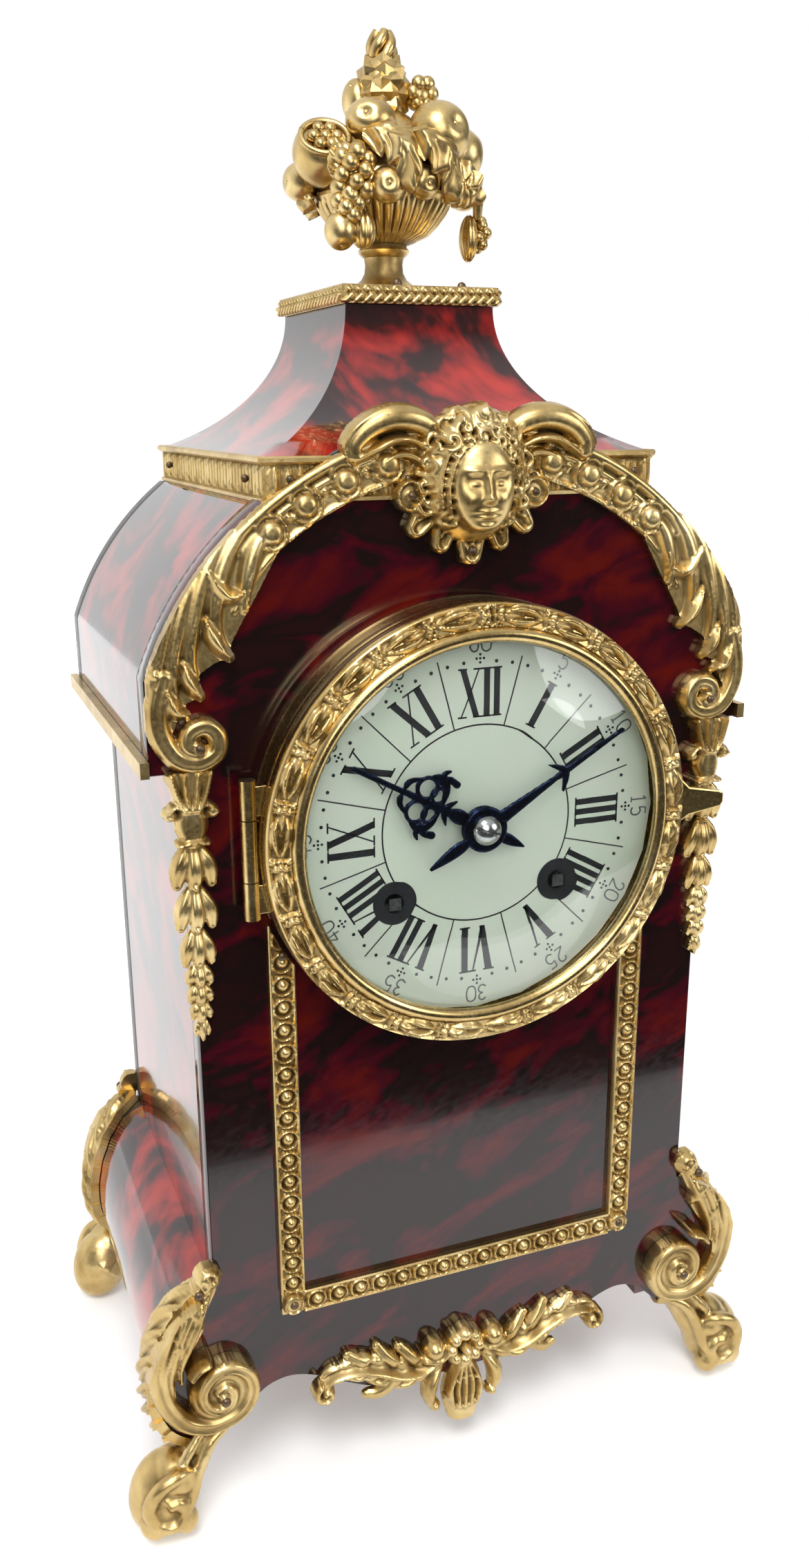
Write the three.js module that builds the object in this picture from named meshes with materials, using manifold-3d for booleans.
// A small bracket clock in the French manner: a waisted, arch-topped wooden case with cast gilt
// mounts, a glazed bezel and a round movement that is wound through the dial.
// Millimetres. X is to the right, Y to the back and Z up, and the front board's face is y = 0
// until the last lines, which stand the clock on z = 0 about its middle.
import * as THREE from 'three';
import { mergeVertices } from 'three/addons/utils/BufferGeometryUtils.js';
import Module from 'manifold-3d';

const wasm = await Module();
wasm.setup();

// ---- Clearances ----
const SEAM = 0.1; // between faces that touch
const FIT = 0.3; // round a piece that sits in a cut or a groove
const RUN = 0.25; // round a pivot in its hole

// ---- Case ----
const CASE_WIDTH = 148;
const CASE_DEPTH = 114;
const BOARD = 8; // front and back boards
const WALL = 8; // sides
const SHOULDER_RISE = 19.5; // from the dial's centre up to the shoulders
const SHOULDER_REACH = 8.8; // how far the hood stands out past the waist
const HOOD_WALL = 6;
const HOOD_HEIGHT = 63; // from the shoulders up to the gallery's seat
const ARCH_EASE = 5.2; // the arch's radius past the shoulders' half width
const ARCH_RISE = 81.2; // from the shoulders up to the arch's crown
const BELLY_TOP = 75;
const BELLY_REACH = 17;
const BELLY_HEIGHT = 46; // level of its widest line
const BELLY_FOOT = 28;
const BELLY_TUCK = 6; // how far its foot stays outside the waist
const SKIRT_ARCH = 40; // height of the hollows in the front board's lower edge
const SKIRT_MIDDLE = 26;
const FLOOR_TOP = 50;
const FLOOR_THICKNESS = 6;

// ---- Gallery, roof and finial ----
const GALLERY_HALF = 52;
const GALLERY_HEIGHT = 10.3;
const GALLERY_OVERHANG = 1; // past the case, front and back
const ROOF_HALF = 50.5;
const ROOF_HOLLOW = 36; // radius of its concave sides
const ROOF_HEIGHT = 36;
const ROOF_NECK_INSET = 30; // from the roof's edge in to its neck
const TOP_PLATE_HEIGHT = 4.6;
const TOP_PLATE_OVERHANG = 1.4;
const URN_FOOT_RADIUS = 9.5;
const URN_STEM_RADIUS = 5.3;
const URN_BOWL_RADIUS = 21;
const URN_HEIGHT = 24.5;
const STUD_RADIUS = 2.2;
const STUD_DEPTH = 30; // how far the stud reaches down into the roof
const STUD_TIP = 8; // how far it reaches up into the urn

// ---- Dial and bezel ----
const DIAL_HEIGHT = 202.5;
const DIAL_RADIUS = 50.8;
const DIAL_THICKNESS = 1.7;
const SEAT_RADIUS = 57.5;
const SEAT_BORE = 42.4;
const SEAT_FLANGE = 3;
const SEAT_HEIGHT = 6;
const BEZEL_RADIUS = 58.4;
const BEZEL_FRONT = 16; // its foremost line, in front of the board
const GLASS_RADIUS = 49.3;
const GLASS_THICKNESS = 1.8;
const GLASS_RIM = 12.6; // the glass's inner face at its rim, in front of the board
const GLASS_RISE = 5; // from the rim to its flat middle
const GLASS_FLAT_RADIUS = 27.5;
const KNUCKLE_RADIUS = 2.1;
const HINGE_PIN_RADIUS = 0.9;
const HINGE_HEIGHT = 36;
const HINGE_MIDDLE = 16; // the seat's knuckle
const HINGE_REACH = 2; // from the bezel's edge out to the pin
const CATCH_REACH = 17; // from the bezel's edge out to the catch's tip
const CATCH_HEIGHT = 16;
const CATCH_TIP = 4;
const CATCH_DROP = 1.5; // of its tip below the dial's centre

// ---- Hands and motion work ----
const MINUTE_ANGLE = 59.7; // degrees clockwise from twelve
const HOUR_ANGLE = 299;
const MINUTE_LENGTH = 45;
const HOUR_LENGTH = 39.5;
const HAND_THICKNESS = 0.8;
const HOUR_HAND_LEVEL = 11.2; // the hand's front face, in front of the board
const MINUTE_HAND_LEVEL = 13;
const HOUR_PIPE_RADIUS = 2.8;
const HOUR_PIPE_WALL = 0.6;
const CANNON_RADIUS = 1.9;

// ---- Movement ----
const PLATE_RADIUS = 43;
const PLATE_THICKNESS = 2;
const PLATE_FRONT = 2; // from the front board's face to the front plate
const PLATE_GAP = 34; // between the plates
const PILLAR_RADIUS = 2.6;
const PILLAR_CIRCLE = 39;
const STRAP_WIDTH = 8;
const STRAP_THICKNESS = 1.8;
const WINDING_SPREAD = 23.4; // the winding arbors' distance from the middle line
const WINDING_DROP = 18.3; // and below the dial's centre
const BARREL_RADIUS = 17;
const BARREL_LENGTH = 17;
const WINDING_ARBOR_RADIUS = 2.4;
const WINDING_SQUARE = 3.3;
const PIVOT_RADIUS = 0.8;
const WHEEL_THICKNESS = 1;
const TOOTH_RISE = 0.42; // above the pitch circle, in modules
const TOOTH_ROOT = 1.2; // below it
const PENDULUM_LENGTH = 119;
const BOB_RADIUS = 15;
const BOB_THICKNESS = 7;
const ANCHOR_RISE = 12.4; // from the escape arbor up to the anchor's
const BELL_RADIUS = 28;
const BELL_LENGTH = 19;
const BELL_WALL = 1.4;

// ---- Back door ----
const BACK_HOLE_RADIUS = 50;
const BACK_RING_RADIUS = 56.5;
const BACK_RING_THICKNESS = 2;
const BACK_DOOR_THICKNESS = 3;
const BACK_GLASS_RADIUS = 46.5;
const BACK_GLASS_THICKNESS = 1.6;

// ---- Gilt mounts ----
const MOUNT_PLATE = 1.2; // thickness of their thin grounds
const MASK_DROP = 15.2; // from the arch's crown down to the middle of the head
const HEAD_HALF_WIDTH = 7.6;
const HEAD_HALF_HEIGHT = 10.6;
const HEAD_RISE = 8.5;
const RIM_WIDTH = 2.8;
const RIM_RISE = 3.2;
const GARLAND_LENGTH = 72;
const GARLAND_HALF = 5.5;
const GARLAND_RISE = 4.5;
const FRAME_HALF = 55.5; // bead frame, to its outer edge
const FRAME_BAR = 7;
const FRAME_BOTTOM = 62;
const FRAME_RISE = 1.4;
const BEAD_PITCH = 6.4;
const BEAD_RADIUS = 2.7;
const SHELL_DROP = 13; // of the apron's shell, below the skirt's middle
const SHELL_RISE = 17.5; // and above it
const LEG_RISE = 6;
const LEG_WRAP = 18; // how far a leg mount runs back along the belly
const LEG_SKIN = 2.4;
const FOOT_RADIUS = 13.6;
const FOOT_REACH = 17.5; // from the waist out to the foot's centre
const FOOT_DEPTH = 15;
const FOOT_FLAT = 0.5; // depth of the flat that it stands on
const STRIP_THICKNESS = 2.2;
const STRIP_HEIGHT = 4;

// ---- Values worked out from them ----
const waist = CASE_WIDTH / 2;
const shoulder = waist + SHOULDER_REACH;
const shoulderHeight = DIAL_HEIGHT + SHOULDER_RISE;
const roofLine = shoulderHeight + HOOD_HEIGHT;
const archTop = shoulderHeight + ARCH_RISE;
const archRadius = shoulder + ARCH_EASE;
const archCentre = archTop - archRadius;
const maskHeight = archTop - MASK_DROP;
const middleDepth = CASE_DEPTH / 2;
const v2 = (x, z) => new THREE.Vector2(x, z);
const degrees = Math.PI / 180;
const ROUND = 24; // sides of the large rings
const SMOOTHING = 0.02; // facets flatter than this are merged

// ---- Solids ----
// One closed body with shared vertices and its faces pointing out.
function closed(geometry) {
  const bare = new THREE.BufferGeometry();
  bare.setAttribute('position', geometry.getAttribute('position'));
  if (geometry.index) bare.setIndex(geometry.index);
  const merged = mergeVertices(bare, 1e-4);
  const corners = Array.from(merged.index.array);
  const kept = [];
  for (let i = 0; i < corners.length; i += 3) {
    const [a, b, c] = corners.slice(i, i + 3);
    if (a !== b && b !== c && c !== a) kept.push(a, b, c);
  }
  if (volume(merged.getAttribute('position'), kept) < 0) kept.reverse();
  merged.setIndex(kept);
  return merged;
}

function volume(position, corners) {
  const [a, b, c] = [new THREE.Vector3(), new THREE.Vector3(), new THREE.Vector3()];
  let sum = 0;
  for (let i = 0; i < corners.length; i += 3) {
    a.fromBufferAttribute(position, corners[i]);
    b.fromBufferAttribute(position, corners[i + 1]);
    c.fromBufferAttribute(position, corners[i + 2]);
    sum += a.dot(b.cross(c)) / 6;
  }
  return sum;
}

function solid(geometry) {
  if (!(geometry instanceof THREE.BufferGeometry)) return geometry;
  const mesh = closed(geometry);
  return new wasm.Manifold(new wasm.Mesh({
    numProp: 3,
    vertProperties: new Float32Array(mesh.getAttribute('position').array),
    triVerts: new Uint32Array(mesh.index.array),
  }));
}

const join = (...shapes) => shapes.map(solid).reduce((whole, next) => whole.add(next));
const cut = (shape, ...tools) => tools.map(solid).reduce((rest, tool) => rest.subtract(tool), solid(shape));

function geometryOf(shape) {
  if (shape instanceof THREE.BufferGeometry) return closed(shape);
  const mesh = shape.asOriginal().simplify(SMOOTHING).getMesh();
  const geometry = new THREE.BufferGeometry();
  geometry.setAttribute('position', new THREE.BufferAttribute(new Float32Array(mesh.vertProperties), 3));
  geometry.setIndex(Array.from(mesh.triVerts));
  return geometry;
}

// An outline in X and Z, given depth from front to back along Y.
function plate(outline, front, back, holes = []) {
  const shape = new THREE.Shape(outline);
  shape.holes = holes.map((hole) => new THREE.Path(hole));
  const geometry = new THREE.ExtrudeGeometry(shape, { depth: back - front, bevelEnabled: false });
  return geometry.rotateX(Math.PI / 2).translate(0, back, 0);
}

function block(left, right, front, back, bottom, top) {
  const geometry = new THREE.BoxGeometry(right - left, back - front, top - bottom);
  return geometry.translate((left + right) / 2, (front + back) / 2, (bottom + top) / 2);
}

// A profile of [radius, y] turned about an axis along Y through (x, z).
function turned(profile, x, z, sides) {
  const points = profile.map(([radius, y]) => v2(radius, y));
  return new THREE.LatheGeometry(points, sides).translate(x, 0, z);
}

// A profile of [radius, z] turned about an upright axis.
function turnedUpright(profile, x, y, sides) {
  const points = profile.map(([radius, z]) => v2(radius, z));
  return new THREE.LatheGeometry(points, sides).rotateX(Math.PI / 2).translate(x, y, 0);
}

function rod(x, z, radius, front, back, sides = 10) {
  return turned([[0, front], [radius, front], [radius, back], [0, back]], x, z, sides);
}

function post(x, y, radius, bottom, top, sides = 10) {
  return turnedUpright([[0, bottom], [radius, bottom], [radius, top], [0, top]], x, y, sides);
}

function ring(x, z, radius, sides) {
  const points = [];
  for (let i = 0; i < sides; i += 1) {
    const turn = (i / sides) * 2 * Math.PI;
    points.push(v2(x + radius * Math.cos(turn), z + radius * Math.sin(turn)));
  }
  return points;
}

const mirrorX = (geometry) => geometry.clone().scale(-1, 1, 1);
const mirrorY = (geometry) => geometry.clone().scale(1, -1, 1).translate(0, CASE_DEPTH, 0);
const bothHalves = (right) => [...right, ...right.filter((p) => p.x > 0).reverse().map((p) => v2(-p.x, p.y))];

// A carved stroke: a flat-backed, rounded bar that follows a line over a face of the case.
const STROKE_SECTION = [[-1, 0], [-0.5, 1], [0.5, 1], [1, 0]];

function stroke(line, halfWidth, rise, steps, back = -SEAM) {
  const positions = [];
  const corners = STROKE_SECTION.length;
  for (let i = 0; i <= steps; i += 1) {
    const t = i / steps;
    const middle = line.getPoint(t);
    const along = line.getTangent(t);
    for (const [across, up] of STROKE_SECTION) {
      const side = across * halfWidth(t);
      positions.push(middle.x + along.y * side, back - up * rise(t), middle.y - along.x * side);
    }
  }
  const faces = [];
  for (let i = 0; i < steps; i += 1) {
    for (let k = 0; k < corners; k += 1) {
      const next = (k + 1) % corners;
      const [a, b] = [i * corners + k, i * corners + next];
      faces.push(a, b, b + corners, a, b + corners, a + corners);
    }
  }
  const last = steps * corners;
  for (let k = 1; k < corners - 1; k += 1) {
    faces.push(0, k + 1, k, last, last + k, last + k + 1);
  }
  const geometry = new THREE.BufferGeometry();
  geometry.setAttribute('position', new THREE.Float32BufferAttribute(positions, 3));
  geometry.setIndex(faces);
  return geometry;
}

const through = (...points) => new THREE.SplineCurve(points.map(([x, z]) => v2(x, z)));
// Points of a mount: in from the shoulder's edge and up from it, or down from the arch's crown.
const haunch = (inward, up) => [shoulder - inward, shoulderHeight + up];
const crown = (x, drop) => [x, archTop - drop];
// A swelling that is small at both ends of a stroke and full at the point given.
const swell = (small, full, peak = 0.5) => (t) => {
  const share = t < peak ? t / peak : (1 - t) / (1 - peak);
  return small + (full - small) * Math.sin(share * Math.PI / 2);
};

function dome(x, z, radius, rise, back, sides = 6) {
  const profile = [[0, back - rise], [radius * 0.72, back - rise * 0.7], [radius, back], [0, back]];
  return turned(profile, x, z, sides);
}

// Rectangles stacked up a height and joined into one solid.
function stack(levels) {
  const positions = [];
  const faces = [];
  levels.forEach(([height, halfX, halfY], i) => {
    for (const [sx, sy] of [[-1, -1], [1, -1], [1, 1], [-1, 1]]) {
      positions.push(sx * halfX, middleDepth + sy * halfY, height);
    }
    for (let k = 0; k < 4 && i > 0; k += 1) {
      const [a, b] = [(i - 1) * 4 + k, (i - 1) * 4 + ((k + 1) % 4)];
      faces.push(a, b, b + 4, a, b + 4, a + 4);
    }
  });
  const top = (levels.length - 1) * 4;
  faces.push(0, 2, 1, 0, 3, 2, top, top + 1, top + 2, top, top + 2, top + 3);
  const geometry = new THREE.BufferGeometry();
  geometry.setAttribute('position', new THREE.Float32BufferAttribute(positions, 3));
  geometry.setIndex(faces);
  return geometry;
}

// ---- Finishes and pieces ----
const FINISHES = {
  tortoiseshell: { color: '#5a1410', roughness: 0.14, metalness: 0 },
  ebonised: { color: '#120d0b', roughness: 0.35, metalness: 0 },
  carcass: { color: '#6b4a2f', roughness: 0.7, metalness: 0 },
  gilt: { color: '#c79a45', roughness: 0.3, metalness: 1 },
  brass: { color: '#b9974f', roughness: 0.32, metalness: 1 },
  steel: { color: '#9aa0a6', roughness: 0.28, metalness: 1 },
  blued: { color: '#0d1020', roughness: 0.25, metalness: 0.9 },
  enamel: { color: '#dfe6df', roughness: 0.25, metalness: 0 },
  glass: { color: '#e8f2ee', roughness: 0.03, metalness: 0 },
  silvered: { color: '#b7b6ae', roughness: 0.3, metalness: 1 },
};

const clock = new THREE.Group();

function piece(name, finish, shape) {
  const mesh = new THREE.Mesh(geometryOf(shape), new THREE.MeshStandardMaterial(FINISHES[finish]));
  mesh.name = name;
  clock.add(mesh);
}

// ---- Case ----
// The belly's outline on the right, from the waist down to its tucked-in foot.
function bellyLine() {
  const widest = v2(waist + BELLY_REACH, BELLY_HEIGHT);
  const upper = new THREE.CubicBezierCurve(
    v2(waist, BELLY_TOP),
    v2(waist + BELLY_REACH * 0.62, BELLY_TOP - 3),
    v2(widest.x, BELLY_HEIGHT + (BELLY_TOP - BELLY_HEIGHT) * 0.42),
    widest,
  );
  const lower = new THREE.CubicBezierCurve(
    widest,
    v2(widest.x, BELLY_HEIGHT - (BELLY_HEIGHT - BELLY_FOOT) * 0.55),
    v2(widest.x - BELLY_TUCK * 0.6, BELLY_FOOT + 2),
    v2(waist + BELLY_TUCK, BELLY_FOOT),
  );
  return [...upper.getPoints(4), ...lower.getPoints(3).slice(1)];
}

// The arch on the right, from the shoulder up to a level, inset from the case's outline.
function archLine(inset, top, steps) {
  const radius = archRadius - inset;
  const start = Math.acos((shoulder - inset) / radius);
  const end = Math.asin(Math.min(1, (top - archCentre) / radius));
  const points = [];
  for (let i = 0; i <= steps; i += 1) {
    const turn = start + ((end - start) * i) / steps;
    points.push(v2(radius * Math.cos(turn), archCentre + radius * Math.sin(turn)));
  }
  return points;
}

function skirtLine() {
  const foot = waist + BELLY_TUCK;
  const line = through(
    [0, SKIRT_MIDDLE],
    [foot * 0.33, SKIRT_MIDDLE + 2],
    [foot * 0.56, SKIRT_ARCH - 2.5],
    [foot * 0.7, SKIRT_ARCH],
    [foot * 0.82, (SKIRT_ARCH + BELLY_FOOT) / 2],
    [foot * 0.92, BELLY_FOOT],
  );
  return line.getPoints(8);
}

function boardOutline(top) {
  const arch = archLine(0, top, 10);
  const right = [
    ...skirtLine(),
    ...bellyLine().reverse(),
    v2(waist, shoulderHeight),
    v2(shoulder, shoulderHeight),
    ...arch,
  ];
  right[0].x = 0;
  if (top === archTop) right[right.length - 1].x = 0;
  return bothHalves(right);
}

function carcass() {
  const bore = PLATE_RADIUS + STRAP_THICKNESS + 2;
  const frontHole = ring(0, DIAL_HEIGHT, bore, ROUND);
  const backHole = ring(0, DIAL_HEIGHT, BACK_HOLE_RADIUS, ROUND);
  piece('front_board', 'tortoiseshell', plate(boardOutline(archTop), 0, BOARD, [frontHole]));
  const back = boardOutline(roofLine);
  piece('back_board', 'tortoiseshell', plate(back, CASE_DEPTH - BOARD, CASE_DEPTH, [backHole]));

  const inside = waist - WALL;
  const sideOutline = [
    v2(inside, BELLY_FOOT),
    ...bellyLine().reverse(),
    v2(waist, shoulderHeight),
    v2(inside, shoulderHeight),
  ];
  const [near, far] = [BOARD + SEAM, CASE_DEPTH - BOARD - SEAM];
  const side = plate(sideOutline, near, far);
  piece('right_side', 'tortoiseshell', side);
  piece('left_side', 'tortoiseshell', mirrorX(side));
  const reach = inside - SEAM;
  piece('base_board', 'carcass', block(-reach, reach, near, far, FLOOR_TOP - FLOOR_THICKNESS, FLOOR_TOP));

  const seat = shoulderHeight + SEAM;
  const outer = bothHalves([v2(inside, seat), v2(shoulder, seat), ...archLine(0, roofLine, 10)]);
  const lining = bothHalves([
    v2(inside, seat + HOOD_WALL),
    v2(shoulder - HOOD_WALL, seat + HOOD_WALL),
    ...archLine(HOOD_WALL, roofLine - HOOD_WALL, 8),
  ]);
  piece('arched_hood', 'tortoiseshell', plate([...outer, ...lining.reverse()], near, far));
}

// ---- Gallery, roof and top plate ----
const galleryTop = roofLine + SEAM + GALLERY_HEIGHT;
const roofFoot = galleryTop + SEAM;
const roofTop = roofFoot + ROOF_HEIGHT;
const plateTop = roofTop + SEAM + TOP_PLATE_HEIGHT;

function crestRoom() {
  const outline = boardOutline(archTop).filter((p) => p.y > shoulderHeight);
  const wider = outline.map((p) => v2(p.x * (1 + FIT / archRadius), p.y + FIT));
  return plate(wider, -GALLERY_HALF, BOARD + FIT);
}

function galleryAndRoof() {
  const foot = roofLine + SEAM;
  const depth = middleDepth + GALLERY_OVERHANG;
  const gallery = stack([
    [foot, GALLERY_HALF - 1, depth - 1],
    [foot + 1.2, GALLERY_HALF, depth],
    [foot + 2.2, GALLERY_HALF - 0.8, depth - 0.8],
    [galleryTop - 2.6, GALLERY_HALF - 0.8, depth - 0.8],
    [galleryTop - 1.6, GALLERY_HALF, depth],
    [galleryTop, GALLERY_HALF - 0.4, depth - 0.4],
  ]);
  piece('gallery_frieze', 'gilt', cut(gallery, crestRoom()));

  const roofDepth = middleDepth - (GALLERY_HALF - ROOF_HALF) + GALLERY_OVERHANG;
  const levels = [];
  const bend = 10;
  const start = Math.acos(1 - 1 / 7);
  for (let i = 0; i <= bend; i += 1) {
    const turn = start + ((Math.PI / 2 - start) * i) / bend;
    const share = (Math.sin(turn) - Math.sin(start)) / (1 - Math.sin(start));
    const drop = (1 - Math.cos(turn)) * ROOF_HOLLOW - (1 - Math.cos(start)) * ROOF_HOLLOW;
    levels.push([share, drop]);
  }
  const deepest = levels[bend][1];
  const roofLevels = levels.map(([share, drop]) => {
    const inset = ROOF_NECK_INSET * share;
    return [roofFoot + (drop / deepest) * ROOF_HEIGHT, ROOF_HALF - inset, roofDepth - inset];
  });
  const bore = post(0, middleDepth, STUD_RADIUS + FIT, roofTop - STUD_DEPTH, roofTop + 1);
  piece('roof', 'tortoiseshell', cut(stack(roofLevels), crestRoom(), bore));

  const neck = ROOF_HALF - ROOF_NECK_INSET + TOP_PLATE_OVERHANG;
  const neckDepth = roofDepth - ROOF_NECK_INSET + TOP_PLATE_OVERHANG;
  const low = roofTop + SEAM;
  const top = stack([
    [low, neck - 1, neckDepth - 1],
    [low + 1, neck, neckDepth],
    [plateTop - 2, neck, neckDepth],
    [plateTop - 1, neck - 0.9, neckDepth - 0.9],
    [plateTop, neck - 0.9, neckDepth - 0.9],
  ]);
  piece('top_gallery', 'gilt', cut(top, post(0, middleDepth, STUD_RADIUS + FIT, low - 1, plateTop + 1)));
}

// ---- Finial ----
function finial() {
  const foot = plateTop + SEAM;
  const rim = foot + URN_HEIGHT;
  const bowlFoot = foot + 12.5;
  const profile = [
    [0, foot],
    [URN_FOOT_RADIUS, foot],
    [URN_FOOT_RADIUS, foot + 1.4],
    [URN_STEM_RADIUS, foot + 5],
    [URN_STEM_RADIUS, foot + 8.5],
    [URN_STEM_RADIUS + 1.4, foot + 11],
    [URN_STEM_RADIUS + 0.6, bowlFoot],
    [URN_BOWL_RADIUS * 0.72, bowlFoot + 3.5],
    [URN_BOWL_RADIUS, rim - 2.6],
    [URN_BOWL_RADIUS, rim],
    [0, rim],
  ];
  const socket = post(0, middleDepth, STUD_RADIUS + FIT, foot - 1, foot + STUD_TIP + FIT);
  piece('finial_urn', 'gilt', cut(turnedUpright(profile, 0, middleDepth, 14), socket));
  const stud = post(0, middleDepth, STUD_RADIUS, roofTop - STUD_DEPTH + FIT, foot + STUD_TIP);
  piece('finial_stud', 'steel', stud);

  const heap = rim + SEAM;
  // Each fruit: across, deep, up from the rim, then its three half sizes.
  const fruits = [
    [0, 0, 8, 19, 18, 9],
    [-17, -6, 10, 8, 8, 8],
    [10, -13, 13, 7.5, 7.5, 7.5],
    [-6, -12, 14, 6.5, 6.5, 8],
    [18, 2, 11, 7.5, 8, 8],
    [-12, 10, 12, 8, 8, 8],
    [7, 13, 12, 8, 8, 8],
    [0, 0, 22, 7.5, 7.5, 12],
    [10, 3, 22, 5.5, 5.5, 5],
    [-9, 2, 21, 6, 6, 6],
    [0, 0, 35, 3.6, 3.6, 3.8],
  ];
  const balls = fruits.map(([x, y, up, rx, ry, rz]) => new THREE.SphereGeometry(1, 7, 4)
    .rotateX(Math.PI / 2).scale(rx, ry, rz).translate(x, middleDepth + y, heap + up));
  const spread = 2 * URN_BOWL_RADIUS;
  const below = block(-spread, spread, 0, CASE_DEPTH, heap - URN_BOWL_RADIUS, heap);
  piece('finial_fruit', 'gilt', cut(join(...balls), below));
}

// ---- Gilt mounts on the front ----
function archMounts() {
  const inset = RIM_WIDTH / 2;
  const arc = archLine(inset, archTop - inset, 16).filter((p) => p.x > 17);
  const rimLine = new THREE.SplineCurve([v2(shoulder - inset, shoulderHeight + 6), ...arc]);
  const rim = stroke(rimLine, () => inset, () => RIM_RISE, 11);
  const inner = through(
    haunch(18.8, 32), haunch(25.8, 44), crown(46, 26.2), crown(33, 18.2), crown(20, 13.7), crown(10, 12.2),
  ).getPoints(6);
  const outer = archLine(inset, archTop, 9).filter((p) => p.x > 10 && p.y > shoulderHeight + 28).reverse();
  const ground = plate([...inner, ...outer], -SEAM - MOUNT_PLATE, -SEAM);
  const leaf = stroke(
    through(
      crown(47, 17.2), haunch(23.8, 55.5), haunch(14.8, 45), haunch(8.8, 33), haunch(6.3, 22), haunch(7.3, 14),
    ),
    swell(1.2, 5.2, 0.45),
    swell(1.4, 4, 0.4),
    8,
  );
  const lobes = [[...haunch(16.3, 35), 3.6], [...haunch(12.3, 26), 3.4], [...haunch(9.8, 18), 3]]
    .map(([x, z, radius]) => dome(x, z, radius, 2.6, -SEAM));
  const volute = stroke(
    through(
      haunch(6.3, 18), haunch(3.3, 11), haunch(6.3, 4.4), haunch(12.3, 2.6),
      haunch(16.8, 6), haunch(15.3, 10.8), haunch(11.3, 10.6), haunch(11.3, 7.4),
    ),
    swell(0.9, 2, 0.3),
    () => 4.4,
    11,
  );
  const beads = [crown(22, 10.4), crown(33, 13.6), crown(43, 18.4)]
    .map(([x, z]) => dome(x, z, 3.1, 3.6, -SEAM));
  const mount = cut(join(rim, ground, leaf, ...lobes, volute, ...beads), maskShell(FIT), maskHorn(FIT));
  piece('arch_mount_right', 'gilt', mount);
  piece('arch_mount_left', 'gilt', mirrorX(geometryOf(mount)));
}

// The mask's shell and horns, with room added all round where its neighbours are cut.
function maskShell(room) {
  const right = through([0, -16], [6, -13.5], [9.5, -5], [12, -1], [14, 9], [9, 17], [0, 20.5]);
  const grow = 1 + room / 12;
  const outline = bothHalves(right.getPoints(10)).map((p) => v2(p.x * grow, maskHeight + p.y * grow));
  return plate(outline, -SEAM - 2.4 - room, -SEAM + room);
}

function maskHorn(room) {
  const line = through(...[[8, 13], [16, 16.6], [24, 15.6], [26.6, 11], [23, 8.6], [21.4, 11.4]]
    .map(([x, up]) => [x, maskHeight + up]));
  const half = swell(1.2, 2.3, 0.3);
  return stroke(line, (t) => half(t) + room, () => 4 + room, 9, -SEAM + room);
}

function maskMount() {
  const ground = maskShell(0);
  const head = new THREE.SphereGeometry(1, 9, 6)
    .scale(HEAD_HALF_WIDTH, HEAD_RISE, HEAD_HALF_HEIGHT)
    .translate(0, -SEAM - HEAD_RISE / 2, maskHeight);
  const reach = 2 * HEAD_HALF_HEIGHT;
  const behind = block(-reach, reach, -SEAM, reach, maskHeight - reach, maskHeight + reach);
  const roundel = dome(2 * HEAD_HALF_WIDTH, maskHeight - 2, 4, 3, -SEAM);
  const parts = [maskHorn(0), roundel, dome(6, maskHeight - 9, 3, 4.4, -SEAM)];
  piece('mask_mount', 'gilt', join(ground, cut(head, behind), ...parts, ...parts.map(mirrorX)));
}

function garlands() {
  const top = shoulderHeight - 0.6;
  const line = new THREE.LineCurve(v2(waist - 0.5, top), v2(waist - 0.5, top - GARLAND_LENGTH));
  const husks = 5;
  const spread = (t) => {
    const place = t * husks;
    const within = place - Math.floor(place);
    const size = GARLAND_HALF * (1 - 0.6 * t);
    return t >= 1 ? 0.5 : size * (0.42 + 0.58 * Math.sin(Math.min(1, within * 1.25) * Math.PI * 0.62));
  };
  const garland = stroke(line, spread, (t) => Math.max(1, GARLAND_RISE * (1 - 0.55 * t)), husks * 4);
  piece('garland_right', 'gilt', garland);
  piece('garland_left', 'gilt', mirrorX(garland));
}

// Bars with a row of beads, which run up from the corners to the bezel.
function beadFrame() {
  const [back, front] = [-SEAM, -SEAM - FRAME_RISE];
  const inner = FRAME_HALF - FRAME_BAR;
  const rest = FRAME_BOTTOM + FRAME_BAR;
  const clear = BEZEL_RADIUS + FIT + 0.7;
  const topAt = (x) => DIAL_HEIGHT - Math.sqrt(Math.max(0, clear * clear - x * x));
  const row = (count, place) => Array.from({ length: count }, (_, i) => {
    const [x, z] = place(i);
    return dome(x, z, BEAD_RADIUS, BEAD_RADIUS, front + 0.2, 5);
  });
  const bottomBar = block(-FRAME_HALF, FRAME_HALF, front, back, FRAME_BOTTOM, rest);
  const across = 2 * Math.floor((inner - BEAD_RADIUS) / BEAD_PITCH) + 1;
  const firstAcross = (-(across - 1) / 2) * BEAD_PITCH;
  const bottom = row(across, (i) => [firstAcross + i * BEAD_PITCH, FRAME_BOTTOM + FRAME_BAR / 2]);
  piece('bead_frame_bottom', 'gilt', join(bottomBar, ...bottom));

  const sideOutline = [
    v2(inner, rest + SEAM),
    v2(FRAME_HALF, rest + SEAM),
    v2(FRAME_HALF, topAt(FRAME_HALF)),
    v2(FRAME_HALF - FRAME_BAR / 2, topAt(FRAME_HALF - FRAME_BAR / 2)),
    v2(inner, topAt(inner)),
  ];
  const up = Math.floor((topAt(inner) - rest - BEAD_RADIUS - 1) / BEAD_PITCH);
  const beads = row(up, (i) => [FRAME_HALF - FRAME_BAR / 2, rest + SEAM + (i + 0.5) * BEAD_PITCH]);
  const side = join(plate(sideOutline, front, back), ...beads);
  piece('bead_frame_right', 'gilt', side);
  piece('bead_frame_left', 'gilt', mirrorX(geometryOf(side)));
}

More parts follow.
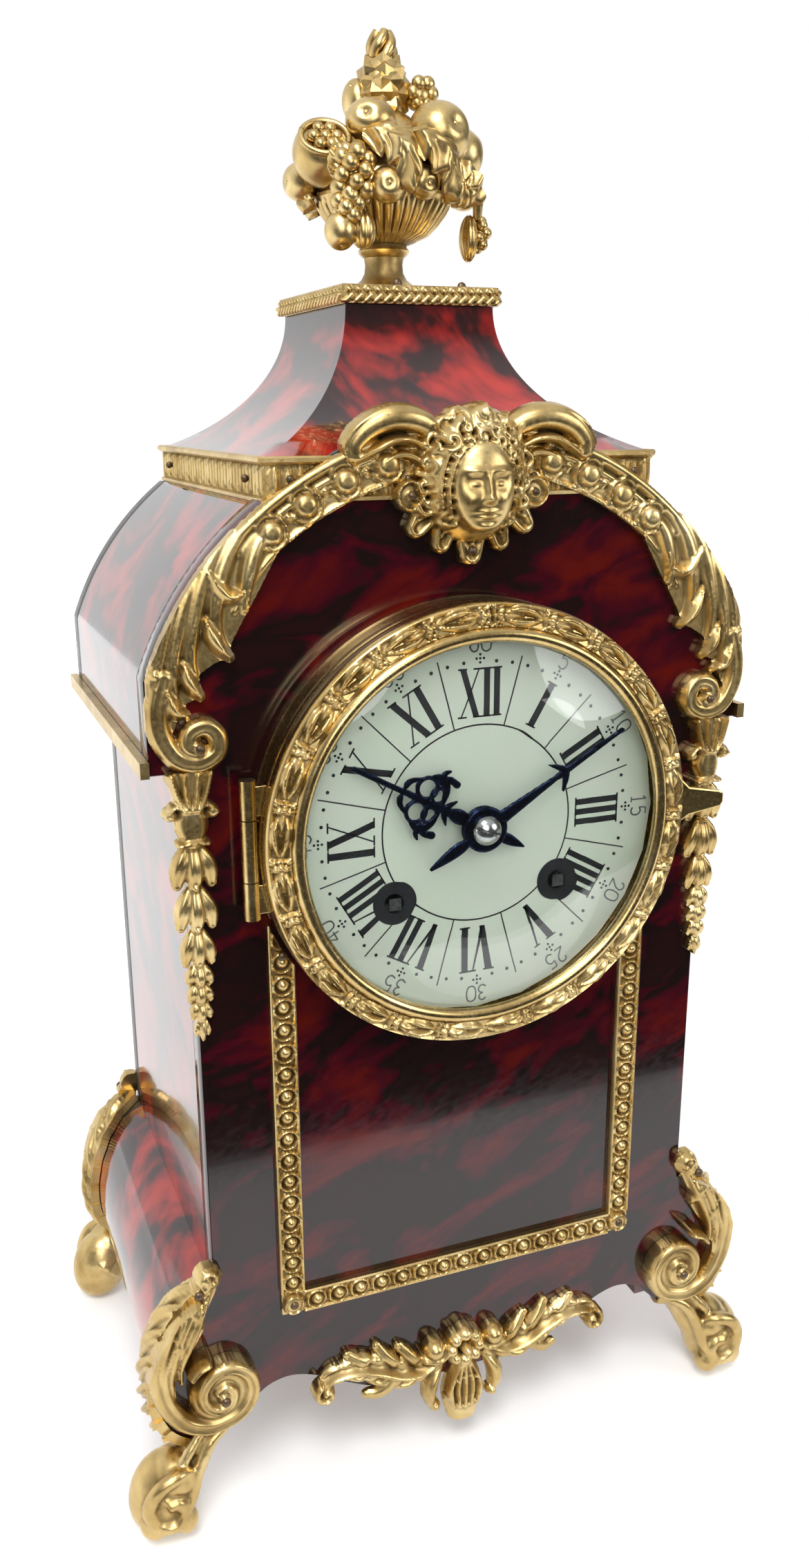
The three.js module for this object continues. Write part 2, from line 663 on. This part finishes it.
function apronMount() {
  const low = SKIRT_MIDDLE;
  const wing = stroke(
    through(
      [6, low + 10], [15, low + 8], [26, low + 11], [37, low + 11],
      [45, low + 8.5], [46, low + 4.5], [42, low + 4.5],
    ),
    swell(1.2, 4.4, 0.45),
    swell(1.6, 4.6, 0.4),
    9,
  );
  const leaf = stroke(through([12, low + 7], [22, low + 14], [28, low + 17]), swell(1, 3, 0.5), () => 3, 4);
  const ball = dome(9.5, low + 12.5, 3.2, 4, -SEAM);
  const drop = stroke(through([8, low + 9], [10, low - 1], [9, low - 9]), swell(0.8, 2.4, 0.5), () => 3, 4);
  const shellRight = through(
    [0, low - SHELL_DROP], [4, low - 10], [6.4, low - 2], [7, low + 8], [4, low + 15], [0, low + SHELL_RISE],
  );
  const shell = bothHalves(shellRight.getPoints(8));
  const parts = [wing, leaf, ball, drop];
  piece('apron_mount', 'gilt', join(plate(shell, -SEAM - 3.4, -SEAM), ...parts, ...parts.map(mirrorX)));
}

// ---- Leg mounts with their scroll feet ----
function offsetLine(points, distance) {
  return points.map((point, i) => {
    const before = points[Math.max(0, i - 1)];
    const after = points[Math.min(points.length - 1, i + 1)];
    const along = v2(after.x - before.x, after.y - before.y).normalize();
    return v2(point.x - along.y * distance, point.y + along.x * distance);
  });
}

function legMounts() {
  const belly = bellyLine();
  const inner = offsetLine(belly, FIT);
  const outer = offsetLine(belly, FIT + LEG_SKIN);
  const skin = plate([...inner, ...outer.reverse()], -2, LEG_WRAP);
  const scroll = stroke(
    through(
      [waist - 3, BELLY_TOP + 9],
      [waist + 5, BELLY_TOP + 4.5],
      [waist + 12.5, BELLY_TOP - 7],
      [waist + 17, BELLY_TOP - 20],
      [waist + 17, BELLY_HEIGHT - 2],
      [waist + 12.5, BELLY_HEIGHT - 11],
      [waist + 4, BELLY_HEIGHT - 14],
      [waist - 6, BELLY_HEIGHT - 13],
      [waist - 11, BELLY_HEIGHT - 5],
      [waist - 10, BELLY_HEIGHT + 4],
      [waist - 3, BELLY_HEIGHT + 9],
      [waist + 4, BELLY_HEIGHT + 6],
      [waist + 6, BELLY_HEIGHT - 2],
      [waist + 1, BELLY_HEIGHT - 6],
      [waist - 3, BELLY_HEIGHT - 3],
    ),
    swell(1.6, 3.4, 0.25),
    (t) => LEG_RISE * (0.75 + 0.25 * t),
    18,
  );
  const footCentre = v2(waist + FOOT_REACH, FOOT_RADIUS - FOOT_FLAT);
  const [near, far] = [-LEG_RISE, FOOT_DEPTH - LEG_RISE];
  const whorl = turned([
    [0, near], [FOOT_RADIUS * 0.62, near], [FOOT_RADIUS * 0.92, near + 2.5], [FOOT_RADIUS, (near + far) / 2],
    [FOOT_RADIUS * 0.92, far - 2.5], [FOOT_RADIUS * 0.62, far], [0, far],
  ], 0, 0, 12).scale(0.74, 1, 1).translate(footCentre.x, 0, footCentre.y);
  const under = BELLY_FOOT - FIT;
  const stem = plate([
    v2(waist - 4, under), v2(waist - 2, under - 4), v2(waist + 5, under - 8),
    v2(footCentre.x - 4, footCentre.y), v2(footCentre.x + 3, footCentre.y + 8),
    v2(waist + 14, under - 2), v2(waist + 13, under),
  ], near + 1, far - 1);
  const floor = block(waist - 20, waist + 60, -40, 60, -20, 0);
  const leg = geometryOf(cut(join(skin, scroll, whorl, stem), floor));
  piece('leg_front_right', 'gilt', leg);
  piece('leg_front_left', 'gilt', mirrorX(leg));
  piece('leg_back_right', 'gilt', mirrorY(leg));
  piece('leg_back_left', 'gilt', mirrorX(mirrorY(leg)));
}

function shoulderStrips() {
  const low = shoulderHeight;
  const near = shoulder + SEAM;
  const strip = block(near, near + STRIP_THICKNESS, -2, CASE_DEPTH + 2, low, low + STRIP_HEIGHT);
  piece('shoulder_strip_right', 'gilt', strip);
  piece('shoulder_strip_left', 'gilt', mirrorX(strip));
}

// ---- Bezel, glass, dial and hands ----
const pinX = -(BEZEL_RADIUS + HINGE_REACH);
const pinY = -SEAT_HEIGHT - 0.2;
const hingeLow = DIAL_HEIGHT - HINGE_HEIGHT / 2;
const hingeTop = DIAL_HEIGHT + HINGE_HEIGHT / 2;

function bezel() {
  const ringBack = -SEAT_HEIGHT - FIT;
  const bore = post(pinX, pinY, HINGE_PIN_RADIUS + RUN, hingeLow - 1, hingeTop + 1);
  const splits = [hingeLow, DIAL_HEIGHT - HINGE_MIDDLE / 2, DIAL_HEIGHT + HINGE_MIDDLE / 2, hingeTop];
  const knuckle = (low, high) => post(pinX, pinY, KNUCKLE_RADIUS, low, high, 12);

  const seatProfile = [
    [SEAT_BORE, -SEAM], [SEAT_BORE, -SEAT_FLANGE], [GLASS_RADIUS, -SEAT_FLANGE], [GLASS_RADIUS, -SEAT_HEIGHT],
    [SEAT_RADIUS, -SEAT_HEIGHT], [SEAT_RADIUS, -SEAM], [SEAT_BORE, -SEAM],
  ];
  const leafEdge = -(SEAT_RADIUS - 2);
  const seatLeaf = block(pinX, leafEdge, pinY + 0.4, -1, splits[1] + FIT / 2, splits[2] - FIT / 2);
  const seat = join(
    turned(seatProfile, 0, DIAL_HEIGHT, ROUND),
    seatLeaf,
    knuckle(splits[1] + FIT / 2, splits[2] - FIT / 2),
  );
  piece('bezel_seat', 'gilt', cut(seat, bore));
  piece('hinge_pin', 'steel', post(pinX, pinY, HINGE_PIN_RADIUS, hingeLow, hingeTop, 8));

  const lip = GLASS_RADIUS - 0.6;
  const groove = GLASS_RADIUS + FIT;
  const grooveFront = -(GLASS_RIM + GLASS_THICKNESS + FIT);
  const profile = [
    [DIAL_RADIUS + 0.6, ringBack],
    [DIAL_RADIUS + 0.6, -(GLASS_RIM - 0.4)],
    [groove, -(GLASS_RIM - 0.4)],
    [groove, grooveFront],
    [lip, grooveFront],
    [lip + 0.4, -BEZEL_FRONT],
    [lip + 3.6, -BEZEL_FRONT],
    [BEZEL_RADIUS - 3.2, -BEZEL_FRONT + 2.4],
    [BEZEL_RADIUS - 0.6, -BEZEL_FRONT + 5.4],
    [BEZEL_RADIUS, -BEZEL_FRONT + 8],
    [BEZEL_RADIUS, ringBack],
    [DIAL_RADIUS + 0.6, ringBack],
  ];
  const leafFront = pinY - KNUCKLE_RADIUS;
  const leaf = (low, high) => block(pinX, -(BEZEL_RADIUS - 5), leafFront, ringBack, low, high);
  const catchEnd = BEZEL_RADIUS + CATCH_REACH;
  const lug = plate([
    v2(BEZEL_RADIUS - 2, DIAL_HEIGHT - CATCH_HEIGHT / 2),
    v2(BEZEL_RADIUS + CATCH_REACH / 3, DIAL_HEIGHT - CATCH_HEIGHT / 3),
    v2(catchEnd, DIAL_HEIGHT - CATCH_DROP - CATCH_TIP / 2),
    v2(catchEnd, DIAL_HEIGHT - CATCH_DROP + CATCH_TIP / 2),
    v2(BEZEL_RADIUS + CATCH_REACH / 3, DIAL_HEIGHT + CATCH_HEIGHT / 5),
    v2(BEZEL_RADIUS - 2, DIAL_HEIGHT + CATCH_HEIGHT / 2),
  ], ringBack - 2, ringBack);
  const bezelRing = join(
    turned(profile, 0, DIAL_HEIGHT, ROUND),
    leaf(splits[0], splits[1] - FIT / 2),
    leaf(splits[2] + FIT / 2, splits[3]),
    knuckle(splits[0], splits[1] - FIT / 2),
    knuckle(splits[2] + FIT / 2, splits[3]),
    lug,
  );
  const relief = post(pinX, pinY, KNUCKLE_RADIUS + RUN, splits[1] - FIT / 2, splits[2] + FIT / 2, 16);
  piece('bezel_ring', 'gilt', cut(bezelRing, bore, relief));

  const inner = -GLASS_RIM;
  const middle = inner - GLASS_RISE;
  piece('bezel_glass', 'glass', turned([
    [0, middle - GLASS_THICKNESS],
    [GLASS_FLAT_RADIUS, middle - GLASS_THICKNESS],
    [GLASS_RADIUS, inner - GLASS_THICKNESS],
    [GLASS_RADIUS, inner],
    [GLASS_FLAT_RADIUS, middle],
    [0, middle],
  ], 0, DIAL_HEIGHT, ROUND));
}

const dialBack = -SEAT_HEIGHT - FIT;
const dialFace = dialBack - DIAL_THICKNESS;

function dial() {
  const holes = [ring(0, DIAL_HEIGHT, HOUR_PIPE_RADIUS + 0.6, 14)];
  for (const side of [-1, 1]) {
    holes.push(ring(side * WINDING_SPREAD, DIAL_HEIGHT - WINDING_DROP, WINDING_ARBOR_RADIUS * 2.3, 14));
  }
  piece('dial', 'enamel', plate(ring(0, DIAL_HEIGHT, DIAL_RADIUS, ROUND), dialFace, dialBack, holes));
}

// A hand drawn pointing up from its centre, then turned clockwise.
function hand(outline, holes, front, angle, bore) {
  const eye = ring(0, 0, bore, 12);
  return plate(outline, front, front + HAND_THICKNESS, [eye, ...holes])
    .rotateY(angle * degrees)
    .translate(0, 0, DIAL_HEIGHT);
}

function hands() {
  const minuteHalf = [
    [0, -20], [2.2, -16.5], [1, -11], [1.2, -6.4], [4.2, -5], [6, -1], [5.6, 3.4], [2.4, 6.2], [3.6, 11],
    [3.2, 15], [1.1, 20], [1, 23.6], [4.4, 24.4], [4.2, 26.4], [1, 26], [1.4, 30], [0.8, 38],
    [0, MINUTE_LENGTH],
  ].map(([x, z]) => v2(x, z));
  const hourHalf = [
    [0, -15.5], [2.8, -12.6], [1.2, -8.5], [3.6, -5.6], [6, -1], [5.4, 3.6], [2.6, 6.6], [1.6, 10],
    [7.4, 13.6], [9.4, 18.4], [6.6, 23.4], [2.4, 24.6], [4.4, 27.6], [1.6, 30], [1.2, 34], [0, HOUR_LENGTH],
  ].map(([x, z]) => v2(x, z));
  const opening = [[1.6, 14], [4.6, 15.4], [6.2, 18.6], [4.6, 21.4], [1.6, 21.8]].map(([x, z]) => v2(x, z));
  const openings = [opening, opening.map((p) => v2(-p.x, p.y)).reverse()];
  const nose = CANNON_RADIUS;
  const hour = hand(bothHalves(hourHalf), openings, -HOUR_HAND_LEVEL, HOUR_ANGLE, HOUR_PIPE_RADIUS + FIT / 3);
  const minute = hand(bothHalves(minuteHalf), [], -MINUTE_HAND_LEVEL, MINUTE_ANGLE, nose + FIT / 3);
  piece('hour_hand', 'blued', hour);
  piece('minute_hand', 'blued', minute);
  const seat = -MINUTE_HAND_LEVEL - SEAM;
  const nut = turned([
    [0, seat - 3], [2.2, seat - 3], [3.9, seat - 1.6], [4.1, seat], [0, seat],
  ], 0, DIAL_HEIGHT, 16);
  piece('hand_nut', 'steel', nut);
}

// ---- Wheel train ----
const plateBack = PLATE_FRONT + PLATE_THICKNESS;
const backPlateFront = plateBack + PLATE_GAP;
const backPlateBack = backPlateFront + PLATE_THICKNESS;
const centre = v2(0, DIAL_HEIGHT);
const goingBarrel = v2(WINDING_SPREAD, DIAL_HEIGHT - WINDING_DROP);
const strikeBarrel = v2(-WINDING_SPREAD, DIAL_HEIGHT - WINDING_DROP);

// A meshing pair from its tooth counts and module: pitch radii and distance.
function pair(wheelTeeth, pinionTeeth, module) {
  const [wheel, pinion] = [(wheelTeeth * module) / 2, (pinionTeeth * module) / 2];
  return { wheelTeeth, pinionTeeth, module, wheel, pinion, distance: wheel + pinion };
}

// The point at one distance from a and another from b, on the chosen side of the line a to b.
function meetingPoint(a, distanceA, b, distanceB, side) {
  const gap = a.distanceTo(b);
  const along = (distanceA ** 2 - distanceB ** 2 + gap ** 2) / (2 * gap);
  const off = Math.sqrt(Math.max(0, distanceA ** 2 - along ** 2)) * side;
  const unit = b.clone().sub(a).divideScalar(gap);
  return v2(a.x + unit.x * along - unit.y * off, a.y + unit.y * along + unit.x * off);
}

const greatPair = pair(48, 8, 0.8125);
const centrePair = pair(48, 8, 0.525);
const thirdPair = pair(72, 6, 0.35);
const escapePair = pair(72, 6, 0.35);
const motionPair = pair(30, 10, 0.576);
const hourPair = pair(32, 8, 0.576);
const strikePair = pair(48, 8, 0.8125);
const flyPair = pair(48, 6, 0.45);
const ESCAPE_TEETH = 36;
const ESCAPE_RADIUS = 9;

const intermediate = meetingPoint(goingBarrel, greatPair.distance, centre, centrePair.distance, 1);
const escapeArbor = v2(0, centre.y + thirdPair.distance * 1.36);
const thirdArbor = meetingPoint(centre, thirdPair.distance, escapeArbor, escapePair.distance, 1);
const anchorArbor = v2(0, escapeArbor.y + ANCHOR_RISE);
const minuteArbor = v2(centre.x + motionPair.distance * 0.5, centre.y + motionPair.distance * Math.sqrt(0.75));
const strikeArbor = v2(strikeBarrel.x - 3, strikeBarrel.y + Math.sqrt(strikePair.distance ** 2 - 9));
const flyArbor = v2(strikeArbor.x, strikeArbor.y + flyPair.distance);

const bearing = (from, to) => Math.atan2(to.y - from.y, to.x - from.x);

// A wheel or pinion with a tooth (or, for the driven one, a gap) on the line to its partner.
function toothed(at, teeth, module, front, back, towards, gap) {
  const pitch = Math.PI / teeth;
  const radius = (teeth * module) / 2;
  const start = towards + (gap ? pitch : 0);
  const points = [];
  for (let i = 0; i < teeth; i += 1) {
    const tip = start + 2 * pitch * i;
    const [high, low] = [radius + TOOTH_RISE * module, radius - TOOTH_ROOT * module];
    points.push(v2(at.x + high * Math.cos(tip), at.y + high * Math.sin(tip)));
    points.push(v2(at.x + low * Math.cos(tip + pitch), at.y + low * Math.sin(tip + pitch)));
  }
  return plate(points, front, back);
}

// The two halves of a meshing pair: the wheel drives, and the pinion has its gap on the same line.
const wheel = (at, set, partner, front, back) => (
  toothed(at, set.wheelTeeth, set.module, front, back, bearing(at, partner), false));
const pinion = (at, set, partner, front, back) => (
  toothed(at, set.pinionTeeth, set.module, front, back, bearing(at, partner), true));

const spindle = (at, front, back) => rod(at.x, at.y, PIVOT_RADIUS, front, back, 6);
// Levels of the wheels between the plates, from the front plate's inner face.
const level = (share) => plateBack + PLATE_GAP * share;
const arborFront = PLATE_FRONT + 0.3;
const arborBack = backPlateBack - 0.3;

function goingTrain() {
  const great = level(0.66);
  const drumFront = great - BARREL_LENGTH;
  const barrels = [['going', goingBarrel, intermediate], ['strike', strikeBarrel, strikeArbor]];
  for (const [side, at, partner] of barrels) {
    const drum = rod(at.x, at.y, BARREL_RADIUS, drumFront, great + 0.5, 16);
    const teeth = wheel(at, greatPair, partner, great, great + 1.4);
    const bore = rod(at.x, at.y, WINDING_ARBOR_RADIUS + RUN, drumFront - 5, great + 5, 12);
    piece(`${side}_barrel`, 'brass', cut(join(drum, teeth), bore));
    const shaft = rod(at.x, at.y, WINDING_ARBOR_RADIUS, -SEAT_FLANGE, arborBack, 12);
    const half = WINDING_SQUARE / 2;
    const square = block(at.x - half, at.x + half, dialFace - 1, 0, at.y - half, at.y + half);
    piece(`${side}_winding_arbor`, 'steel', join(shaft, square));
  }

  const interWheel = level(0.8);
  piece('intermediate_wheel', 'brass', join(
    spindle(intermediate, arborFront, arborBack),
    pinion(intermediate, greatPair, goingBarrel, great - 0.6, great + 2),
    wheel(intermediate, centrePair, centre, interWheel, interWheel + WHEEL_THICKNESS),
  ));

  const centreWheel = level(0.73);
  const cannonFront = -MINUTE_HAND_LEVEL + SEAM;
  piece('centre_arbor', 'brass', join(
    spindle(centre, plateBack - 1, arborBack),
    rod(centre.x, centre.y, CANNON_RADIUS, cannonFront, PLATE_FRONT + 1, 12),
    rod(centre.x, centre.y, PIVOT_RADIUS, PLATE_FRONT, plateBack, 6),
    pinion(centre, motionPair, minuteArbor, -0.2, 1.3),
    pinion(centre, centrePair, intermediate, interWheel - 0.4, interWheel + 1.4),
    wheel(centre, thirdPair, thirdArbor, centreWheel, centreWheel + WHEEL_THICKNESS),
  ));

  const thirdWheel = level(0.06);
  piece('third_wheel', 'brass', join(
    spindle(thirdArbor, arborFront, arborBack),
    pinion(thirdArbor, thirdPair, centre, centreWheel - 0.4, centreWheel + 1.4),
    wheel(thirdArbor, escapePair, escapeArbor, thirdWheel, thirdWheel + WHEEL_THICKNESS),
  ));

  const escape = level(0.88);
  const escapeModule = (2 * ESCAPE_RADIUS) / ESCAPE_TEETH;
  piece('escape_wheel', 'brass', join(
    spindle(escapeArbor, arborFront, arborBack),
    pinion(escapeArbor, escapePair, thirdArbor, thirdWheel - 0.4, thirdWheel + 1.4),
    toothed(escapeArbor, ESCAPE_TEETH, escapeModule, escape, escape + WHEEL_THICKNESS, Math.PI / 2, false),
  ));

  const wheelLevel = -0.2;
  piece('minute_wheel', 'brass', join(
    rod(minuteArbor.x, minuteArbor.y, PIVOT_RADIUS, -3, plateBack - 0.3, 6),
    wheel(minuteArbor, motionPair, centre, wheelLevel, wheelLevel + WHEEL_THICKNESS),
    pinion(minuteArbor, hourPair, centre, -3, wheelLevel),
  ));
  const pipeBore = rod(centre.x, centre.y, CANNON_RADIUS + 0.3, -20, 5, 12);
  piece('hour_wheel', 'brass', cut(join(
    rod(centre.x, centre.y, HOUR_PIPE_RADIUS, -HOUR_HAND_LEVEL, -1.6, 14),
    wheel(centre, hourPair, minuteArbor, -2.6, -1.6),
  ), pipeBore));
}

function strikeTrain() {
  const great = level(0.66);
  const strikeLevel = level(0.8);
  const vaneFront = level(0.2);
  piece('strike_wheel', 'brass', join(
    spindle(strikeArbor, arborFront, arborBack),
    pinion(strikeArbor, strikePair, strikeBarrel, great - 0.6, great + 2),
    wheel(strikeArbor, flyPair, flyArbor, strikeLevel, strikeLevel + WHEEL_THICKNESS),
  ));
  const vane = block(flyArbor.x - 4.5, flyArbor.x + 4.5, vaneFront, great, flyArbor.y - 0.5, flyArbor.y + 0.5);
  piece('fly', 'brass', join(
    spindle(flyArbor, arborFront, arborBack),
    pinion(flyArbor, flyPair, strikeArbor, strikeLevel - 0.4, strikeLevel + 1.4),
    vane,
  ));
}

// ---- Plates, straps, pendulum, bell and hammer ----
const suspensionLevel = backPlateBack + 6;
const bellCentre = v2(12, DIAL_HEIGHT - 6);
const bellMouth = backPlateBack + 15;
const hammerArbor = v2(-27, DIAL_HEIGHT + 20);

function plates() {
  const pivots = [intermediate, thirdArbor, escapeArbor, strikeArbor, flyArbor, centre];
  const holes = pivots.map((at) => ring(at.x, at.y, PIVOT_RADIUS + RUN, 6));
  const winding = [goingBarrel, strikeBarrel].map((at) => ring(at.x, at.y, WINDING_ARBOR_RADIUS + RUN, 12));
  const outline = ring(0, DIAL_HEIGHT, PLATE_RADIUS, ROUND);
  const studHole = ring(minuteArbor.x, minuteArbor.y, PIVOT_RADIUS + RUN, 6);
  const anchorHole = ring(anchorArbor.x, anchorArbor.y, 1 + RUN, 8);
  const cannonHole = ring(centre.x, centre.y, CANNON_RADIUS + RUN, 12);
  const frontHoles = [...holes.slice(0, -1), cannonHole, ...winding, studHole];
  piece('front_plate', 'brass', plate(outline, PLATE_FRONT, plateBack, [...frontHoles, anchorHole]));

  const stem = rod(bellCentre.x, bellCentre.y, 2, backPlateFront + 1, bellMouth + BELL_LENGTH + 2.6, 10);
  const pillars = [25, 90, 155, 270].map((turn) => rod(
    PILLAR_CIRCLE * Math.cos(turn * degrees),
    DIAL_HEIGHT + PILLAR_CIRCLE * Math.sin(turn * degrees),
    PILLAR_RADIUS,
    plateBack + SEAM,
    backPlateFront + 0.5,
    6,
  ));
  const hammerHole = ring(hammerArbor.x, hammerArbor.y, 1 + RUN, 8);
  const backHoles = [...holes, ...winding, anchorHole, hammerHole];
  const shelf = bellMouth + BELL_LENGTH - BELL_WALL - 2;
  piece('back_plate', 'brass', join(
    plate(outline, backPlateFront, backPlateBack, backHoles),
    ...pillars,
    stem,
    rod(bellCentre.x, bellCentre.y, 4, shelf, shelf + 1.6, 12),
  ));

  const reach = PLATE_RADIUS + FIT;
  const half = STRAP_WIDTH / 2;
  const strap = block(reach, reach + STRAP_THICKNESS, 0, CASE_DEPTH, DIAL_HEIGHT - half, DIAL_HEIGHT + half);
  piece('strap_right', 'brass', strap);
  piece('strap_left', 'brass', mirrorX(strap));
}

function pendulum() {
  const escape = level(0.88);
  const reach = ESCAPE_RADIUS + 1.2;
  const [low, high] = [anchorArbor.y - ANCHOR_RISE * 0.42, anchorArbor.y + 2.4];
  const under = anchorArbor.y - 1.8;
  const pallets = plate(bothHalves([
    v2(0, high), v2(4, high - 1), v2(reach, low + 1.5), v2(reach - 0.4, low - 2.6),
    v2(reach - 1.6, low - 1.6), v2(3.4, under), v2(0, under),
  ]), escape - 0.2, escape + 1.2);
  const crutchBack = suspensionLevel + 2.4;
  const crutchLow = anchorArbor.y - 34;
  const half = 1.1;
  piece('anchor', 'steel', join(
    rod(anchorArbor.x, anchorArbor.y, 1, arborFront, backPlateBack + 2.8, 8),
    pallets,
    block(-half, half, backPlateBack + 1.6, backPlateBack + 2.8, crutchLow, anchorArbor.y),
    block(-2.6, -1.3, backPlateBack + 1.6, crutchBack, crutchLow, crutchLow + 2.4),
    block(1.3, 2.6, backPlateBack + 1.6, crutchBack, crutchLow, crutchLow + 2.4),
    block(-2.6, 2.6, backPlateBack + 1.6, backPlateBack + 2.8, crutchLow, crutchLow + 2.4),
  ));

  const bobCentre = anchorArbor.y - PENDULUM_LENGTH;
  const thin = suspensionLevel;
  piece('pendulum', 'brass', join(
    block(-2.2, 2.2, thin - 0.3, thin + 0.3, anchorArbor.y - 8, anchorArbor.y + 1),
    post(0, thin, 1, bobCentre - BOB_RADIUS - 5, anchorArbor.y - 7, 8),
    turned([
      [0, thin - BOB_THICKNESS / 2], [BOB_RADIUS * 0.6, thin - BOB_THICKNESS / 2 + 0.6], [BOB_RADIUS, thin],
      [BOB_RADIUS * 0.6, thin + BOB_THICKNESS / 2 - 0.6], [0, thin + BOB_THICKNESS / 2],
    ], 0, bobCentre, 16),
    post(0, thin, 2.6, bobCentre - BOB_RADIUS - 5, bobCentre - BOB_RADIUS - 3, 10),
  ));
  const top = anchorArbor.y + 1.4;
  const cock = join(
    block(-6, 6, backPlateBack + SEAM, thin + 3.2, top + 0.6, top + 4),
    block(-6, 6, backPlateBack + SEAM, backPlateBack + 1.3, anchorArbor.y + 2.2, top + 4),
    block(-3.2, 3.2, thin - 2.6, thin - 0.6, top - 2.6, top + 1),
    block(-3.2, 3.2, thin + 0.6, thin + 2.6, top - 2.6, top + 1),
  );
  piece('pendulum_cock', 'brass', cock);
}

function bellAndHammer() {
  const crown = bellMouth + BELL_LENGTH;
  const inner = BELL_RADIUS - BELL_WALL;
  piece('bell', 'silvered', turned([
    [2.4, crown - BELL_WALL], [inner * 0.62, crown - BELL_WALL - 1.4], [inner * 0.9, crown - 8],
    [inner, bellMouth], [BELL_RADIUS, bellMouth], [BELL_RADIUS * 0.92, crown - 7.4],
    [BELL_RADIUS * 0.64, crown - 1.4], [2.4, crown], [2.4, crown - BELL_WALL],
  ], bellCentre.x, bellCentre.y, 16));
  const headY = bellMouth + 3;
  const headX = bellCentre.x - BELL_RADIUS - 3.4;
  const arm = stroke(new THREE.LineCurve(hammerArbor, v2(headX, bellCentre.y)), () => 0.9, () => 1.4, 1, headY);
  piece('hammer', 'steel', join(
    rod(hammerArbor.x, hammerArbor.y, 1, backPlateFront - 4, headY + 1, 8),
    arm,
    rod(headX, bellCentre.y, 2.9, headY - 3, headY + 3, 12),
  ));
}

// ---- Back ring and glazed door ----
const doorPinX = BACK_RING_RADIUS + 2.4;
const ringFront = CASE_DEPTH + SEAM;
const ringBackY = ringFront + BACK_RING_THICKNESS;
const doorFront = ringBackY + FIT;
const doorBack = doorFront + BACK_DOOR_THICKNESS;

function backDoor() {
  const pinDepth = ringBackY + 0.2;
  const bore = post(doorPinX, pinDepth, HINGE_PIN_RADIUS + RUN, hingeLow - 1, hingeTop + 1);
  const splits = [hingeLow, DIAL_HEIGHT - HINGE_MIDDLE / 2, DIAL_HEIGHT + HINGE_MIDDLE / 2, hingeTop];
  const knuckle = (low, high) => post(doorPinX, pinDepth, KNUCKLE_RADIUS, low, high, 12);
  const [low, high] = [splits[1] + FIT / 2, splits[2] - FIT / 2];
  const ringProfile = [
    [SEAT_BORE, ringFront], [BACK_RING_RADIUS, ringFront], [BACK_RING_RADIUS, ringBackY],
    [SEAT_BORE, ringBackY], [SEAT_BORE, ringFront],
  ];
  const fixedLeaf = block(BACK_RING_RADIUS - 2, doorPinX, ringFront + 0.4, pinDepth - 0.4, low, high);
  const fixedRing = join(turned(ringProfile, 0, DIAL_HEIGHT, ROUND), fixedLeaf, knuckle(low, high));
  piece('back_ring', 'brass', cut(fixedRing, bore));
  piece('back_hinge_pin', 'steel', post(doorPinX, pinDepth, HINGE_PIN_RADIUS, hingeLow, hingeTop, 8));

  const doorRadius = BACK_RING_RADIUS - 0.5;
  const rebate = BACK_GLASS_RADIUS + FIT;
  const doorProfile = [
    [BACK_GLASS_RADIUS - 2, doorFront], [doorRadius, doorFront], [doorRadius, doorBack - 1],
    [doorRadius - 1.4, doorBack], [rebate, doorBack], [rebate, doorFront + 1],
    [BACK_GLASS_RADIUS - 2, doorFront + 1], [BACK_GLASS_RADIUS - 2, doorFront],
  ];
  const leaf = (from, to) => block(doorRadius - 4, doorPinX, doorFront, pinDepth + KNUCKLE_RADIUS, from, to);
  const door = join(
    turned(doorProfile, 0, DIAL_HEIGHT, ROUND),
    leaf(splits[0], splits[1] - FIT / 2),
    leaf(splits[2] + FIT / 2, splits[3]),
    knuckle(splits[0], splits[1] - FIT / 2),
    knuckle(splits[2] + FIT / 2, splits[3]),
  );
  piece('back_door', 'brass', cut(door, bore));
  const paneFront = doorFront + 1 + SEAM;
  const pane = rod(0, DIAL_HEIGHT, BACK_GLASS_RADIUS, paneFront, paneFront + BACK_GLASS_THICKNESS, ROUND);
  piece('back_door_glass', 'glass', pane);
}

carcass();
galleryAndRoof();
finial();
archMounts();
maskMount();
garlands();
beadFrame();
apronMount();
legMounts();
shoulderStrips();
bezel();
dial();
hands();
goingTrain();
strikeTrain();
plates();
pendulum();
bellAndHammer();
backDoor();

// The clock stands on z = 0, with its middle over the origin.
const bounds = new THREE.Box3().setFromObject(clock);
const middle = bounds.getCenter(new THREE.Vector3());
clock.position.set(-middle.x, -middle.y, -bounds.min.z);

export default clock;
